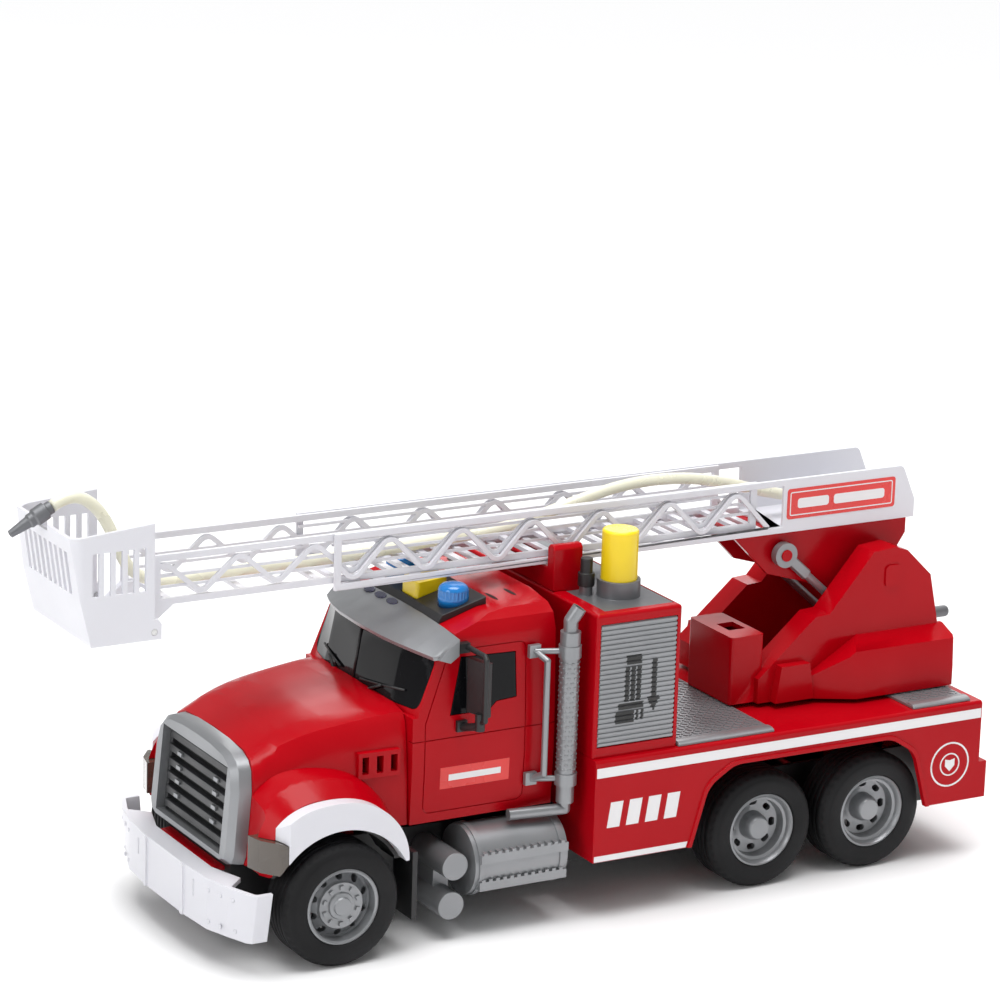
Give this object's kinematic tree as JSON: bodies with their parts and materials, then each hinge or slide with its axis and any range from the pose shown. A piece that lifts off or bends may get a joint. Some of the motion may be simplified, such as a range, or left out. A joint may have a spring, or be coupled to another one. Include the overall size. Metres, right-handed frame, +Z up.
{
  "type": "toy fire engine",
  "caption": "Toy ladder fire engine with rolling wheels, a swivelling turret, a lifting telescopic ladder with a hose and a tilting basket, a pump plunger and a roof button.",
  "frame": {"origin": "on the ground, under the middle of the box around the body, ladder and basket, without the hose and its nozzle", "axes": "+X forward, from the turret to the basket; +Y to the truck's left; +Z up"},
  "size_m": [0.438, 0.1268, 0.1855],
  "materials": {
    "red_plastic": "glossy injection-moulded plastic",
    "white_plastic": "glossy injection-moulded plastic",
    "silver_plastic": "satin silver-coloured plastic",
    "grey_plastic": "fine-textured grey plastic",
    "black_plastic": "fine-textured black plastic",
    "black_glazing": "glossy black glazing",
    "yellow_plastic": "glossy plastic",
    "blue_lens": "translucent ribbed lens",
    "smoke_lens": "smoky clear lens",
    "tyre": "soft dark rubber",
    "steel": "bright steel",
    "hose_rubber": "cream translucent tubing",
    "battery_sleeve": "plain cell sleeve",
    "board": "circuit board laminate",
    "speaker_metal": "painted basket and paper cone"
  },
  "bodies": {
    "truck": {"chassis": "black_plastic", "battery_cover": "black_plastic", "batteries": "battery_sleeve", "circuit_board": "board", "speaker": "speaker_metal", "body_screws": "steel", "cab_shell": "red_plastic", "windscreen": "black_glazing", "side_windows": "black_glazing", "sun_visor": "silver_plastic", "mirrors": "black_plastic", "light_bar": "black_plastic", "beacon_lamps": "blue_lens", "button_spring": "steel", "hood_shell": "red_plastic", "front_valance": "red_plastic", "grille_surround": "silver_plastic", "grille_insert": "black_plastic", "grille_pegs": "silver_plastic", "bumper": "white_plastic", "fender_bands": "white_plastic", "headlights": "smoke_lens", "wheel_guards": "black_plastic", "exhaust_left": "silver_plastic", "exhaust_right": "silver_plastic", "fuel_tanks": "silver_plastic", "air_tanks": "silver_plastic", "rear_body": "red_plastic", "tread_plate_front": "grey_plastic", "tread_plate_rear": "grey_plastic", "pump_box": "red_plastic", "shutters": "silver_plastic", "top_plate": "grey_plastic", "pump_cylinder": "white_plastic", "pump_spring": "steel", "cradle": "red_plastic"},
    "front_wheels": {"axle_front": "steel", "tyres_front": "tyre", "rims_front": "silver_plastic"},
    "rear_wheels_1": {"axle_rear_1": "steel", "tyres_rear_1": "tyre", "rims_rear_1": "silver_plastic"},
    "rear_wheels_2": {"axle_rear_2": "steel", "tyres_rear_2": "tyre", "rims_rear_2": "silver_plastic"},
    "turret": {"turret": "red_plastic", "turret_retainer": "black_plastic", "turret_handle": "grey_plastic", "lift_pin": "steel"},
    "ladder": {"ladder_bracket": "red_plastic", "ladder_outer": "white_plastic"},
    "rams": {"rams": "silver_plastic"},
    "ladder_tip": {"ladder_inner": "white_plastic", "basket_pin": "steel", "hose": "hose_rubber"},
    "basket": {"basket": "white_plastic", "nozzle": "grey_plastic"},
    "plunger": {"pump_plunger": "yellow_plastic"},
    "roof_button": {"roof_button": "yellow_plastic"},
    "filler_plug": {"filler_plug": "black_plastic"}
  },
  "joints": [
    {"name": "front_axle_spin", "type": "hinge", "parent": "truck", "child": "front_wheels", "pos_m": [0.1135, 0, 0.025], "axis": [0, 1, 0], "continuous": true},
    {"name": "rear_axle_1_spin", "type": "hinge", "parent": "truck", "child": "rear_wheels_1", "pos_m": [-0.082, 0, 0.025], "axis": [0, 1, 0], "continuous": true},
    {"name": "rear_axle_2_spin", "type": "hinge", "parent": "truck", "child": "rear_wheels_2", "pos_m": [-0.1365, 0, 0.025], "axis": [0, 1, 0], "continuous": true},
    {"name": "turret_swivel", "type": "hinge", "parent": "truck", "child": "turret", "pos_m": [-0.138, 0, 0.07], "axis": [0, 0, 1], "continuous": true},
    {"name": "ladder_lift", "type": "hinge", "parent": "turret", "child": "ladder", "pos_m": [-0.158, 0, 0.119], "axis": [0, -1, 0], "range_deg": [0, 45]},
    {"name": "ram_swing", "type": "hinge", "parent": "ladder", "child": "rams", "pos_m": [-0.114, 0, 0.128], "axis": [0, -1, 0], "range_deg": [-11.6, 0]},
    {"name": "ladder_extend", "type": "slide", "parent": "ladder", "child": "ladder_tip", "axis": [1, 0, 0], "range_m": [-0.06, 0.1]},
    {"name": "basket_tilt", "type": "hinge", "parent": "ladder_tip", "child": "basket", "pos_m": [0.178, 0, 0.134], "axis": [0, -1, 0], "range_deg": [0, 80], "deforming": ["hose"]},
    {"name": "pump_press", "type": "slide", "parent": "truck", "child": "plunger", "axis": [0, 0, -1], "range_m": [0, 0.014], "stiffness_N_per_m": 150, "springref_m": -0.004, "deforming": ["pump_spring"]},
    {"name": "roof_button_press", "type": "slide", "parent": "truck", "child": "roof_button", "axis": [0, 0, -1], "range_m": [0, 0.0015], "stiffness_N_per_m": 300, "springref_m": -0.001, "deforming": ["button_spring"]},
    {"name": "filler_plug_pull", "type": "slide", "parent": "truck", "child": "filler_plug", "axis": [0, 0, 1], "range_m": [0, 0.014]}
  ],
  "couplings": [
    {"joint": "ram_swing", "follows": "ladder_lift", "ratio": -0.256}
  ]
}
